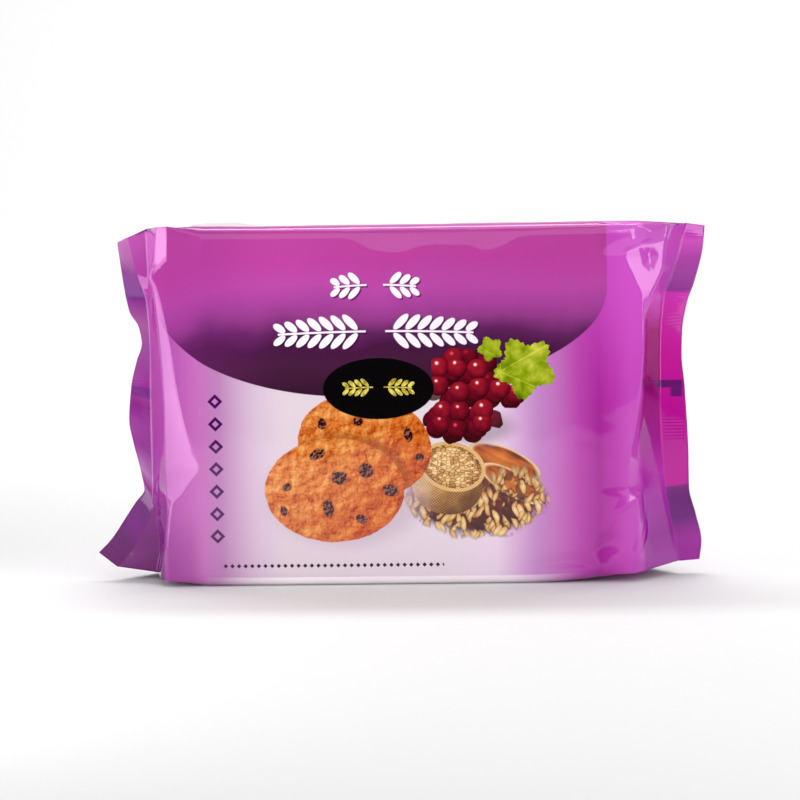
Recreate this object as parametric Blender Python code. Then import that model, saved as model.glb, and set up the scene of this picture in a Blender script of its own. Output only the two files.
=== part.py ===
"""A flow-wrapped pack of cookies, standing upright on its long side.

The pack is one closed body of film: a boxy middle, ends that taper as the long
sides tuck in, a flat crimped fin at each end and a folded seam along the back.
+X runs along the pack, the front faces -Y and +Z is up. Lengths are in
millimetres until the mesh is made.
"""

import math

import bmesh
import bpy
import numpy as np

MILLIMETRE = 0.001

# The boxy middle
BODY_HEIGHT = 140.0
BODY_DEPTH = 44.0
CORNER_RADIUS = 5.0
FACE_BULGE = 0.6
SHOULDER_HEIGHT = 20.0
SHOULDER_LEAN = 1.3
TAPER_START = {"left": -80.0, "right": 78.0}
FRONT_FOOT_LIFT = {"left": 0.2, "right": 2.0}
LIFT_LENGTH = 30.0
TOP_RISE = 0.8

# The film's ends
FIN_THICKNESS = 0.9
FIN_EDGE_CROWN = 0.25
TUCK_OPENS_BY = 0.35
TUCK_CLOSES_FROM = 0.85
CREASE_CRISPNESS = {"left": 0.25, "right": 0.92, "back": 0.45}
BACK_CREASE_X = 96.0
BACK_CREASE_INSET = 1.5

# The seam along the back
SEAM_FOOT = 62.0
SEAM_WIDTH = 12.0
SEAM_THICKNESS = 1.0
SEAM_STEP = 0.6

# Guide lines of each end, as (share of the film's height, x, y, z): the crease where
# the front face turns back, the line where the fin starts, and the fin's free edge.
CREASE = {
    "left": (
        (0.000, -96.8, -18.0, 0.8),
        (0.085, -94.8, -20.0, 12.5),
        (0.200, -95.2, -21.0, 27.7),
        (0.300, -96.2, -21.2, 42.4),
        (0.620, -96.0, -21.5, 88.0),
        (0.800, -96.5, -21.5, 112.3),
        (0.900, -97.5, -20.0, 125.0),
        (1.000, -100.9, -15.0, 143.4),
    ),
    "right": (
        (0.000, 92.2, -19.0, 3.4),
        (0.085, 92.4, -21.5, 12.3),
        (0.240, 92.8, -21.0, 33.5),
        (0.285, 88.9, -20.5, 39.4),
        (0.360, 89.7, -21.0, 49.7),
        (0.600, 93.9, -22.0, 84.6),
        (0.680, 95.0, -22.0, 95.4),
        (0.800, 95.2, -21.5, 111.7),
        (0.920, 88.3, -19.0, 128.7),
        (0.965, 99.0, -17.5, 134.6),
        (1.000, 102.7, -16.0, 140.2),
    ),
}
FIN_START = {
    "left": (
        (0.000, -114.0, -1.0, 5.4),
        (0.060, -109.0, -1.0, 11.0),
        (0.120, -104.5, -1.5, 18.0),
        (0.200, -99.8, -2.5, 27.5),
        (0.270, -98.6, -3.5, 38.0),
        (0.620, -98.4, -4.0, 88.0),
        (0.780, -99.2, -3.5, 110.5),
        (0.880, -103.7, -2.0, 122.5),
        (1.000, -107.2, -1.0, 136.7),
    ),
    "right": (
        (0.000, 110.4, 1.0, 5.2),
        (0.170, 106.8, 0.0, 25.6),
        (0.290, 104.6, -1.5, 40.3),
        (0.500, 102.9, -2.0, 69.9),
        (0.660, 103.1, -1.0, 91.2),
        (0.780, 104.2, 0.0, 109.3),
        (0.840, 107.0, 0.5, 117.8),
        (0.900, 109.8, 1.0, 126.0),
        (1.000, 113.4, 2.0, 139.4),
    ),
}
FIN_EDGE = {
    "left": (
        (0.000, -121.5, 0.0, 11.1),
        (0.045, -116.5, 1.2, 16.2),
        (0.100, -111.0, 2.0, 24.1),
        (0.160, -106.5, 3.0, 30.8),
        (0.210, -103.0, 5.0, 35.7),
        (0.280, -104.3, 3.5, 44.0),
        (0.360, -106.6, 1.0, 55.3),
        (0.420, -107.8, -1.0, 63.9),
        (0.540, -106.7, -1.0, 78.0),
        (0.610, -104.4, 1.0, 88.1),
        (0.660, -102.6, 4.5, 94.5),
        (0.700, -103.7, 4.0, 101.0),
        (0.750, -107.0, 2.5, 107.3),
        (0.870, -109.6, 0.0, 123.6),
        (1.000, -111.1, 1.0, 134.7),
    ),
    "right": (
        (0.000, 118.6, 2.0, 5.6),
        (0.050, 119.4, 1.5, 12.7),
        (0.140, 117.1, 1.2, 24.0),
        (0.240, 114.4, -0.5, 35.0),
        (0.370, 114.0, -3.0, 52.0),
        (0.550, 112.6, -2.5, 76.6),
        (0.630, 111.6, -2.0, 87.6),
        (0.690, 111.9, -1.0, 97.1),
        (0.780, 114.2, 1.0, 109.1),
        (0.830, 116.7, 2.0, 115.6),
        (0.930, 120.4, 3.0, 130.0),
        (1.000, 121.2, 4.0, 138.2),
    ),
}

# Folds pressed into the front film, as (x, z) of each end, height and half width
FRONT_FOLDS = (
    ((71.5, 14.0), (86.0, 31.0), 1.6, 7.0),
    ((78.5, 9.0), (88.0, 24.0), -1.2, 5.0),
    ((92.0, 12.0), (96.5, 29.0), 1.4, 5.0),
)

# How finely the film is divided: across the middle, along a fin, up a face, and
# along each taper and round each long side, where the places are closer at the creases
MIDDLE_STEPS = 8
FIN_STEPS = 3
HEIGHT_STEPS = 30
TAPER_PLACES = (0.0, 0.1, 0.2, 0.3, 0.4, 0.46, 0.5, 0.56, 0.64, 0.74, 0.85, 0.94, 1.0)
SIDE_PLACES = (0.047, 0.094, 0.27, 0.5, 0.73, 0.906, 0.953)

FILM_COLOUR = (0.42, 0.08, 0.36, 1.0)
FILM_ROUGHNESS = 0.22
SMOOTHING_ANGLE = math.radians(35.0)


def blend(start, end, share):
    return start + (end - start) * share


def smooth_step(value, low, high):
    t = np.clip((value - low) / (high - low), 0.0, 1.0)
    return t * t * (3.0 - 2.0 * t)


def guide_line(points):
    """A function from the share of the film's height to a smooth line through points."""
    table = np.array(points)
    knots, places = table[:, 0], table[:, 1:]
    spans = np.diff(knots)
    slopes = np.diff(places, axis=0) / spans[:, None]
    before, after = slopes[:-1], slopes[1:]
    turning = before * after <= 0.0
    inner = np.where(turning, 0.0, 2.0 * before * after / np.where(turning, 1.0, before + after))
    tangents = np.vstack((slopes[:1], inner, slopes[-1:]))

    def place(share):
        share = np.asarray(share, float)
        index = np.clip(np.searchsorted(knots, share, side="right") - 1, 0, len(spans) - 1)
        span = spans[index][..., None]
        t = (share - knots[index])[..., None] / span
        start_part = (2 * t**3 - 3 * t**2 + 1) * places[index]
        start_slope = (t**3 - 2 * t**2 + t) * span * tangents[index]
        end_part = (3 * t**2 - 2 * t**3) * places[index + 1]
        end_slope = (t**3 - t**2) * span * tangents[index + 1]
        return start_part + start_slope + end_part + end_slope

    return place


CREASE_LINE = {side: guide_line(points) for side, points in CREASE.items()}
FIN_START_LINE = {side: guide_line(points) for side, points in FIN_START.items()}
FIN_EDGE_LINE = {side: guide_line(points) for side, points in FIN_EDGE.items()}

# The rounded corner between a face and a long side belongs half to each of them
HALF_ARC = CORNER_RADIUS * math.pi / 4
FACE_RUN = 2 * HALF_ARC + BODY_HEIGHT - 2 * CORNER_RADIUS
SIDE_RUN = 2 * HALF_ARC + BODY_DEPTH - 2 * CORNER_RADIUS


def rounded_run(run, straight):
    """Place along, and distance inside, a straight stretch that ends in two half corners."""
    first = np.clip(HALF_ARC - run, 0.0, HALF_ARC) / CORNER_RADIUS
    last = np.clip(run - HALF_ARC - straight, 0.0, HALF_ARC) / CORNER_RADIUS
    along = CORNER_RADIUS * (1.0 - np.sin(first) + np.sin(last))
    along = along + np.clip(run - HALF_ARC, 0.0, straight)
    inside = CORNER_RADIUS * (2.0 - np.cos(first) - np.cos(last))
    return along, inside


def foot_lift(x):
    """How far the front foot edge rises off the ground towards each end."""
    side = "left" if x < 0.0 else "right"
    into = abs(x) - abs(TAPER_START[side]) + LIFT_LENGTH
    return FRONT_FOOT_LIFT[side] * max(into / LIFT_LENGTH, 0.0) ** 2


def body_face(x, share, way):
    """Points of the front (way -1) or back (way +1) face of the boxy middle."""
    height, inside = rounded_run(share * FACE_RUN, BODY_HEIGHT - 2 * CORNER_RADIUS)
    shoulder = np.clip((height - BODY_HEIGHT + SHOULDER_HEIGHT) / SHOULDER_HEIGHT, 0.0, 1.0)
    bulge = FACE_BULGE * (1.0 - (x / BACK_CREASE_X) ** 2) * np.sin(math.pi * height / BODY_HEIGHT)
    depth = way * (BODY_DEPTH / 2 - inside - SHOULDER_LEAN * shoulder**2 + bulge)
    upward = height / BODY_HEIGHT
    height = height + foot_lift(x) * (1.0 - upward) ** 4
    height = height + TOP_RISE * (x / BACK_CREASE_X) ** 2 * upward**4
    return np.stack((np.full(np.shape(height), x), depth, height), axis=-1)


def fold_relief(x, z):
    """Outward height of the pressed folds: tents that fade out at both ends."""
    total = np.zeros(np.shape(x))
    for start, end, height, half_width in FRONT_FOLDS:
        run_x, run_z = end[0] - start[0], end[1] - start[1]
        from_x, from_z = x - start[0], z - start[1]
        along = (from_x * run_x + from_z * run_z) / (run_x**2 + run_z**2)
        along = np.clip(along, 0.0, 1.0)
        away = np.hypot(from_x - along * run_x, from_z - along * run_z)
        fade = np.sqrt(4.0 * along * (1.0 - along))
        total = total + height * fade * np.clip(1.0 - away / half_width, 0.0, None)
    return total


def bend(start, crease, end, along, crispness):
    """A path past a crease: a soft curve at crispness 0, two straight legs at 1."""
    soft = (1 - along) ** 2 * start + 2 * along * (1 - along) * crease + along**2 * end
    first_leg = blend(start, crease, min(2 * along, 1.0))
    legs = blend(first_leg, end, max(2 * along - 1.0, 0.0))
    return blend(soft, legs, crispness)


def fin_offset(side, share):
    """Half the fin's thickness, level and square to the fin, at each height."""
    run = FIN_EDGE_LINE[side](share) - FIN_START_LINE[side](share)
    backward = np.stack((-run[..., 1], run[..., 0], np.zeros(run.shape[:-1])), axis=-1)
    backward = backward * np.sign(run[..., :1])
    return backward / np.linalg.norm(backward, axis=-1, keepdims=True) * FIN_THICKNESS / 2


def film(station, share, way):
    """Points of the front (way -1) or back (way +1) film at one station.

    share is each point's share of the film's height. A station is ("middle", x),
    ("taper", side, share of the way to the fin) or ("fin", side, share of its width).
    """
    share = np.asarray(share, float)
    if station[0] == "middle":
        return body_face(station[1], share, way)
    _, side, along = station
    offset = way * fin_offset(side, share)
    fin_start = FIN_START_LINE[side](share) + offset
    if station[0] == "fin":
        return blend(fin_start, FIN_EDGE_LINE[side](share) + offset, along)
    face_end = body_face(TAPER_START[side], share, way)
    crease = CREASE_LINE[side](share)
    if way > 0:
        crease[..., 0] = math.copysign(BACK_CREASE_X, TAPER_START[side])
        crease[..., 1] = BODY_DEPTH / 2 - BACK_CREASE_INSET
        return bend(face_end, crease, fin_start, along, CREASE_CRISPNESS["back"])
    places = bend(face_end, crease, fin_start, along, CREASE_CRISPNESS[side])
    places[..., 1] -= fold_relief(places[..., 0], places[..., 2]) * (1.0 - along**4)
    return places


def tuck_depth(station, opening):
    """How far the long side folds in between the films, and the crown left at its edge."""
    if station[0] == "middle":
        return 0.0, 0.0
    if station[0] == "fin":
        return 0.0, FIN_EDGE_CROWN
    along = station[2]
    closed = smooth_step(along, TUCK_CLOSES_FROM, 1.0)
    reach = math.sqrt(max((BODY_DEPTH / 2) ** 2 - opening**2, 0.0))
    return reach * smooth_step(along, 0.0, TUCK_OPENS_BY) * (1.0 - closed), FIN_EDGE_CROWN * closed


def long_side(station, upward):
    """The top (upward 1) or foot (upward -1) from its front edge to its back edge."""
    edge = (1.0 + upward) / 2
    half = (film(station, edge, 1) - film(station, edge, -1)) / 2
    tuck, crown = tuck_depth(station, np.linalg.norm(half))
    along, inside = rounded_run(np.array(SIDE_PLACES) * SIDE_RUN, BODY_DEPTH - 2 * CORNER_RADIUS)
    corner_inside = CORNER_RADIUS * (1.0 - math.cos(math.pi / 4))
    across = (2.0 * along - BODY_DEPTH) / (BODY_DEPTH - 2.0 * corner_inside)
    share = edge - upward * tuck * (1.0 - np.abs(across)) / BODY_HEIGHT
    between = (film(station, share, 1) + film(station, share, -1)) / 2
    places = between + across[:, None] * half
    squareness = 1.0 if station[0] == "middle" else 0.0
    if station[0] == "taper":
        squareness = max(1.0 - 2.0 * station[2], 0.0)
    rise = (corner_inside - inside) * squareness + crown * (1.0 - across**2)
    places[:, 2] += upward * rise
    return places


def seam_relief(z):
    """How far the folded seam stands off the back film."""
    into = np.minimum(z - SEAM_FOOT, SEAM_FOOT + SEAM_WIDTH - z)
    return SEAM_THICKNESS * np.clip(into / SEAM_STEP, 0.0, 1.0)


def height_shares():
    """Shares of the film's height, closer at the rounded corners and the seam's steps."""
    corner = HALF_ARC / FACE_RUN
    even = np.linspace(2.2 * corner, 1.0 - 2.2 * corner, HEIGHT_STEPS - 5)
    seam_edges = np.array((0.0, SEAM_STEP, SEAM_WIDTH - SEAM_STEP, SEAM_WIDTH)) + SEAM_FOOT
    steps = (seam_edges - CORNER_RADIUS + HALF_ARC) / FACE_RUN
    clear = np.abs(even[:, None] - steps).min(axis=1) > corner / 2
    corners = (0.0, corner / 2, corner, 1.0 - corner, 1.0 - corner / 2, 1.0)
    return np.sort(np.concatenate((even[clear], steps, corners)))


def ring(station):
    """One closed loop of points round the pack: front, top, back and foot."""
    shares = height_shares()
    front = film(station, shares, -1)
    back = film(station, shares, 1)
    back[:, 1] += seam_relief(CORNER_RADIUS - HALF_ARC + shares * FACE_RUN)
    return np.vstack((front, long_side(station, 1), back[::-1], long_side(station, -1)[::-1]))


def stations():
    """Every station from the left fin's free edge to the right one's."""
    fin_places = np.linspace(0.0, 1.0, FIN_STEPS + 1)[1:]
    to_right = [("taper", "right", along) for along in TAPER_PLACES]
    to_right += [("fin", "right", along) for along in fin_places]
    to_left = [(kind, "left", along) for kind, _, along in to_right]
    middle = np.linspace(TAPER_START["left"], TAPER_START["right"], MIDDLE_STEPS + 1)[1:-1]
    return to_left[::-1] + [("middle", x) for x in middle] + to_right


def close_fin(bm, loop):
    """Closes a fin's free edge, rung by rung up its height and then at top and foot."""
    rungs = (len(loop) - 2 * len(SIDE_PLACES)) // 2
    front, back = loop[:rungs], loop[rungs + len(SIDE_PLACES) : 2 * rungs + len(SIDE_PLACES)]
    back = back[::-1]
    for index in range(rungs - 1):
        bm.faces.new((front[index], front[index + 1], back[index + 1], back[index]))
    bm.faces.new((front[-1], *loop[rungs : rungs + len(SIDE_PLACES)], back[-1]))
    bm.faces.new((back[0], *loop[-len(SIDE_PLACES) :], front[0]))


def film_mesh():
    """The pack's film as one closed mesh, centred over its foot, in metres."""
    rings = np.array([ring(station) for station in stations()])
    low, high = rings.min(axis=(0, 1)), rings.max(axis=(0, 1))
    rings -= np.array(((low[0] + high[0]) / 2, (low[1] + high[1]) / 2, low[2]))
    bm = bmesh.new()
    loops = [[bm.verts.new(place * MILLIMETRE) for place in places] for places in rings]
    for loop, following in zip(loops, loops[1:]):
        for index in range(len(loop)):
            corners = (loop[index - 1], loop[index], following[index], following[index - 1])
            bm.faces.new(corners)
    close_fin(bm, loops[0])
    close_fin(bm, loops[-1])
    bmesh.ops.triangulate(bm, faces=bm.faces[:])
    bmesh.ops.recalc_face_normals(bm, faces=bm.faces[:])
    mesh = bpy.data.meshes.new("wrapper")
    bm.to_mesh(mesh)
    bm.free()
    return mesh


def film_material():
    material = bpy.data.materials.new("film")
    material.use_nodes = True
    shader = material.node_tree.nodes["Principled BSDF"]
    shader.inputs["Base Color"].default_value = FILM_COLOUR
    shader.inputs["Roughness"].default_value = FILM_ROUGHNESS
    shader.inputs["Metallic"].default_value = 0.0
    return material


def main():
    for thing in list(bpy.data.objects):
        bpy.data.objects.remove(thing)
    mesh = film_mesh()
    mesh.materials.append(film_material())
    mesh.shade_smooth()
    mesh.set_sharp_from_angle(angle=SMOOTHING_ANGLE)
    wrapper = bpy.data.objects.new("wrapper", mesh)
    bpy.context.scene.collection.objects.link(wrapper)


main()
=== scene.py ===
"""The looks of a flow-wrapped cookie pack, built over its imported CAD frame.

One piece stands for all of the film. It repeats the surfaces of the CAD body more
finely, and adds the creases, dents and ripples that the photo shows. Its print is
painted by shader nodes in film coordinates: x along the film from the pack's middle,
and z up its height. Lengths are in millimetres until the mesh is made.
"""

import functools
import math

import bpy
import numpy as np
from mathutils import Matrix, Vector, noise


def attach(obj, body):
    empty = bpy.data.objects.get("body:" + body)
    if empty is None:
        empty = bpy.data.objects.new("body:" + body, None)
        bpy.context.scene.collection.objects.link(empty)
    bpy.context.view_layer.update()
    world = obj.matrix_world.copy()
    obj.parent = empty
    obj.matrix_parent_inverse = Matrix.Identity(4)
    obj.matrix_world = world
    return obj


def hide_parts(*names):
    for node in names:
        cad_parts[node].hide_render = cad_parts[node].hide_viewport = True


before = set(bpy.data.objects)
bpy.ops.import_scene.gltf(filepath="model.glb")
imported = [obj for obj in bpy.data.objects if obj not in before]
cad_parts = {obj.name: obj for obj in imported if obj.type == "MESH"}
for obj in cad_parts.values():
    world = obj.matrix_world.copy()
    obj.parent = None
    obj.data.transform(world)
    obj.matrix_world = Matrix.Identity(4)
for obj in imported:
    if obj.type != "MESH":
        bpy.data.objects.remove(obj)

MILLIMETRE = 0.001

# The boxy middle, as in the CAD body
BODY_HEIGHT = 140.0
BODY_DEPTH = 44.0
CORNER_RADIUS = 5.0
FACE_BULGE = 0.6
TAPER_START = {"left": -76.0, "right": 78.0}
FRONT_FOOT_LIFT = {"left": 0.2, "right": 2.0}
LIFT_LENGTH = 30.0
TOP_RISE = 0.4
TOP_CROWN = 1.4
BACK_SHOULDER_HEIGHT = 20.0
SHOULDER_LEAN = 1.3

# The film's ends, as in the CAD body
FIN_THICKNESS = 0.9
FIN_EDGE_CROWN = 0.25
TUCK_OPENS_BY = 0.35
TUCK_CLOSES_FROM = 0.85
BACK_CREASE_CRISPNESS = 0.45
BACK_CREASE_X = 96.0
BACK_CREASE_INSET = 1.5
FIN_START = {
    "left": (
        (0.000, -114.0, -1.0, 5.4),
        (0.060, -109.0, -1.0, 11.0),
        (0.120, -104.5, -1.5, 18.0),
        (0.200, -99.8, -2.5, 27.5),
        (0.270, -98.6, -3.5, 38.0),
        (0.620, -98.4, -4.0, 88.0),
        (0.780, -99.2, -3.5, 110.5),
        (0.880, -103.7, -2.0, 122.5),
        (1.000, -107.2, -1.0, 136.7),
    ),
    "right": (
        (0.000, 110.4, 1.0, 5.2),
        (0.170, 106.8, 0.0, 25.6),
        (0.290, 104.6, -1.5, 40.3),
        (0.500, 102.9, -2.0, 69.9),
        (0.660, 103.1, -1.0, 91.2),
        (0.780, 104.2, 0.0, 109.3),
        (0.840, 107.0, 0.5, 117.8),
        (0.900, 109.8, 1.0, 126.0),
        (1.000, 113.4, 2.0, 139.4),
    ),
}
FIN_EDGE = {
    "left": (
        (0.000, -121.3, -1.2, 11.3),
        (0.045, -116.2, -1.0, 16.5),
        (0.100, -110.6, -1.2, 24.6),
        (0.160, -105.9, -1.7, 31.5),
        (0.210, -102.2, -2.0, 36.7),
        (0.280, -103.5, -3.0, 44.8),
        (0.360, -106.1, -3.4, 55.8),
        (0.420, -107.5, -3.7, 64.2),
        (0.540, -106.3, -3.8, 78.3),
        (0.610, -103.8, -4.2, 88.5),
        (0.660, -101.7, -4.1, 95.1),
        (0.700, -102.8, -4.0, 101.6),
        (0.750, -106.3, -3.8, 107.7),
        (0.870, -109.3, -2.2, 123.7),
        (1.000, -110.8, -1.1, 134.8),
    ),
    "right": (
        (0.000, 118.6, 2.0, 5.6),
        (0.050, 119.4, 1.5, 12.7),
        (0.140, 117.1, 1.2, 24.0),
        (0.240, 114.4, -0.5, 35.0),
        (0.370, 114.0, -3.0, 52.0),
        (0.550, 112.6, -2.5, 76.6),
        (0.630, 111.6, -2.0, 87.6),
        (0.690, 111.9, -1.0, 97.1),
        (0.780, 114.2, 1.0, 109.1),
        (0.830, 116.7, 2.0, 115.6),
        (0.930, 120.4, 3.0, 130.0),
        (1.000, 121.2, 4.0, 138.2),
    ),
}

# The seam along the back, as in the CAD body
SEAM_FOOT = 62.0
SEAM_WIDTH = 12.0
SEAM_THICKNESS = 1.0
SEAM_STEP = 0.6

# Where the front film turns back at each end, as (share of the height, x, y, z). The
# left end turns in two steps, at the two edges of the bright streak along it.
LEFT_TURN = (
    (0.000, -91.0, -21.0, 2.3),
    (0.120, -91.5, -21.2, 16.8),
    (0.234, -89.8, -21.4, 33.1),
    (0.262, -86.2, -21.6, 37.1),
    (0.302, -82.1, -21.8, 42.7),
    (0.335, -78.9, -22.1, 47.4),
    (0.399, -81.8, -22.1, 56.5),
    (0.438, -83.6, -22.1, 62.0),
    (0.497, -85.4, -22.0, 70.3),
    (0.566, -87.1, -21.9, 80.1),
    (0.663, -88.8, -21.7, 93.8),
    (0.718, -90.2, -21.4, 101.6),
    (0.801, -92.7, -21.1, 113.3),
    (0.840, -94.2, -20.8, 118.8),
    (0.866, -96.0, -20.5, 122.5),
    (0.905, -91.0, -20.9, 128.0),
    (0.925, -89.2, -20.8, 130.8),
    (0.965, -89.1, -20.2, 136.6),
    (1.000, -89.3, -19.5, 141.8),
)
LEFT_BACK_TURN = (
    (0.000, -95.1, -17.0, 2.8),
    (0.120, -93.5, -17.5, 16.8),
    (0.229, -91.0, -19.6, 32.6),
    (0.262, -91.7, -18.9, 37.1),
    (0.330, -91.9, -17.2, 46.2),
    (0.497, -92.1, -17.0, 70.3),
    (0.566, -92.3, -18.0, 80.1),
    (0.703, -93.4, -18.9, 99.4),
    (0.801, -94.9, -19.4, 113.3),
    (0.840, -95.6, -19.7, 118.8),
    (0.866, -96.6, -20.0, 122.3),
    (0.915, -94.8, -18.8, 129.5),
    (0.964, -93.8, -18.5, 136.5),
    (1.000, -93.3, -17.8, 141.6),
)
LEFT_RIB = (
    (0.000, -98.0, -2.6, 3.2),
    (0.087, -96.3, -2.8, 12.3),
    (0.187, -97.2, -3.4, 26.4),
    (0.262, -96.4, -8.0, 37.0),
    (0.400, -95.4, -10.4, 56.0),
    (0.620, -95.6, -10.6, 88.0),
    (0.800, -97.8, -7.0, 112.8),
    (0.900, -98.3, -2.9, 126.0),
    (1.000, -99.0, -2.2, 140.3),
)
RIGHT_CREASE = (
    (0.000, 92.2, -19.0, 3.4),
    (0.085, 92.4, -21.5, 12.3),
    (0.240, 92.8, -21.0, 33.5),
    (0.264, 89.0, -20.6, 37.4),
    (0.356, 89.8, -21.1, 50.3),
    (0.426, 91.9, -21.5, 60.3),
    (0.564, 94.6, -22.0, 79.8),
    (0.729, 95.6, -22.0, 103.2),
    (0.792, 94.8, -22.0, 112.0),
    (0.850, 91.4, -22.0, 120.4),
    (0.910, 88.3, -21.8, 128.7),
    (0.956, 101.0, -16.5, 135.2),
    (1.000, 102.7, -15.2, 140.2),
)
RIGHT_RIB = (
    (0.000, 100.5, -11.0, 4.4),
    (0.120, 97.5, -13.0, 17.3),
    (0.240, 95.4, -14.5, 33.8),
    (0.360, 93.4, -14.5, 50.9),
    (0.480, 95.6, -14.5, 67.5),
    (0.600, 96.8, -14.5, 85.0),
    (0.729, 97.6, -15.0, 103.0),
    (0.792, 98.4, -20.6, 112.0),
    (0.830, 101.2, -19.0, 117.5),
    (0.870, 103.5, -17.4, 123.0),
    (0.930, 104.5, -15.8, 131.5),
    (1.000, 106.0, -14.0, 140.0),
)
TURN_ROUNDING = 0.9

# Where the film of the front starts to lean back below the top edge
TOP_LEAN_LINE = (
    (-96.0, 137.5),
    (-60.0, 137.0),
    (-22.0, 136.0),
    (-15.0, 132.0),
    (-8.0, 129.0),
    (0.0, 128.2),
    (13.0, 131.0),
    (27.0, 131.0),
    (34.0, 128.8),
    (40.0, 129.8),
    (48.0, 134.0),
    (58.0, 136.0),
    (83.0, 141.0),
)
TOP_LEAN = 0.13
TOP_LEAN_START = 2.0

# Dents in the front film: the point (x, z), its depth, which is negative where the film
# stands out, and the outline that flat facets run down from
DENTS = (
    ((88.6, 31.2), -1.3, ((89.0, 37.0), (92.9, 33.6), (91.6, 31.0), (85.2, 27.0), (84.0, 29.0))),
    ((92.2, 19.0), 1.25, ((88.9, 32.0), (92.9, 34.0), (93.8, 20.0), (92.9, 6.0), (88.9, 8.0))),
    ((95.6, 19.0), -1.2, ((97.2, 29.0), (97.6, 19.0), (93.6, 8.0), (94.4, 19.0))),
    ((82.0, 17.0), 1.0, ((84.5, 26.5), (89.5, 21.0), (88.5, 9.0), (79.0, 5.0), (74.0, 10.0), (77.0, 18.0))),
    ((99.0, 137.5), 1.6, ((92.0, 140.5), (108.0, 140.5), (106.0, 134.0), (98.0, 132.0), (92.0, 134.5))),
    ((98.0, 127.5), 0.9, ((94.0, 131.5), (99.0, 132.0), (102.0, 128.0), (99.0, 121.0), (95.5, 124.0))),
    ((64.0, 8.5), 0.5, ((78.0, 5.0), (71.0, 12.5), (58.0, 11.5), (47.0, 7.0), (60.0, 5.0))),
)

# The sagging top film behind the front edge, and the film's gentle waviness
TOP_SAG = 2.6
TOP_SAG_FROM = -66.0
RIPPLE_HEIGHT = 0.18
RIPPLE_LENGTH = 26.0
CRINKLE_HEIGHT = 0.03
CRINKLE_LENGTH = 7.0

# The middle of the CAD body before it was centred
FRAME_SHIFT = (-0.06, 0.01)

# How finely the film is divided
MIDDLE_STEPS = 110
TAPER_STEPS = 60
FIN_STEPS = 12
FRONT_ROWS = 190
BACK_ROWS = 100
SIDE_ROWS = 14

# What the film's gloss adds to the look of every ink, in linear light
GLOSS_LIFT = 0.006


def blend(start, end, share):
    """The value that lies a share of the way from start to end."""
    return start + (end - start) * share


def smooth_step(value, low, high):
    """0 below low and 1 above high, with a smooth rise between."""
    t = np.clip((value - low) / (high - low), 0.0, 1.0)
    return t * t * (3.0 - 2.0 * t)


def guide_line(points):
    """A function from the first number of each point to a smooth line through the rest."""
    table = np.array(points)
    knots, places = table[:, 0], table[:, 1:]
    spans = np.diff(knots)
    slopes = np.diff(places, axis=0) / spans[:, None]
    before, after = slopes[:-1], slopes[1:]
    turning = before * after <= 0.0
    inner = np.where(turning, 0.0, 2.0 * before * after / np.where(turning, 1.0, before + after))
    tangents = np.vstack((slopes[:1], inner, slopes[-1:]))

    def place(share):
        share = np.clip(np.asarray(share, float), knots[0], knots[-1])
        index = np.clip(np.searchsorted(knots, share, side="right") - 1, 0, len(spans) - 1)
        span = spans[index][..., None]
        t = (share - knots[index])[..., None] / span
        start_part = (2 * t**3 - 3 * t**2 + 1) * places[index]
        start_slope = (t**3 - 2 * t**2 + t) * span * tangents[index]
        end_part = (3 * t**2 - 2 * t**3) * places[index + 1]
        end_slope = (t**3 - t**2) * span * tangents[index + 1]
        return start_part + start_slope + end_part + end_slope

    return place


FIN_START_LINE = {side: guide_line(points) for side, points in FIN_START.items()}
FIN_EDGE_LINE = {side: guide_line(points) for side, points in FIN_EDGE.items()}
TURN_LINES = {
    "left": (guide_line(LEFT_TURN), guide_line(LEFT_BACK_TURN), guide_line(LEFT_RIB)),
    "right": (guide_line(RIGHT_CREASE), guide_line(RIGHT_RIB)),
}
TOP_LEAN_HEIGHT = guide_line(TOP_LEAN_LINE)

# The rounded corner between a face and a long side belongs half to each of them
HALF_ARC = CORNER_RADIUS * math.pi / 4
FACE_RUN = 2 * HALF_ARC + BODY_HEIGHT - 2 * CORNER_RADIUS
SIDE_RUN = 2 * HALF_ARC + BODY_DEPTH - 2 * CORNER_RADIUS


def rounded_run(run, straight):
    """Place along, and distance inside, a straight stretch that ends in two half corners."""
    first = np.clip(HALF_ARC - run, 0.0, HALF_ARC) / CORNER_RADIUS
    last = np.clip(run - HALF_ARC - straight, 0.0, HALF_ARC) / CORNER_RADIUS
    along = CORNER_RADIUS * (1.0 - np.sin(first) + np.sin(last))
    along = along + np.clip(run - HALF_ARC, 0.0, straight)
    inside = CORNER_RADIUS * (2.0 - np.cos(first) - np.cos(last))
    return along, inside


def foot_lift(x):
    """How far the front foot edge rises off the ground towards each end."""
    side = "left" if x < 0.0 else "right"
    into = abs(x) - abs(TAPER_START[side]) + LIFT_LENGTH
    return FRONT_FOOT_LIFT[side] * max(into / LIFT_LENGTH, 0.0) ** 2


def top_lean(x, height):
    """How far the front film leans back above its lean line."""
    above = height - float(TOP_LEAN_HEIGHT(x)[0])
    ramp = np.clip(above, 0.0, TOP_LEAN_START)
    return TOP_LEAN * (ramp**2 / (2 * TOP_LEAN_START) + np.clip(above - TOP_LEAN_START, 0.0, None))


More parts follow.
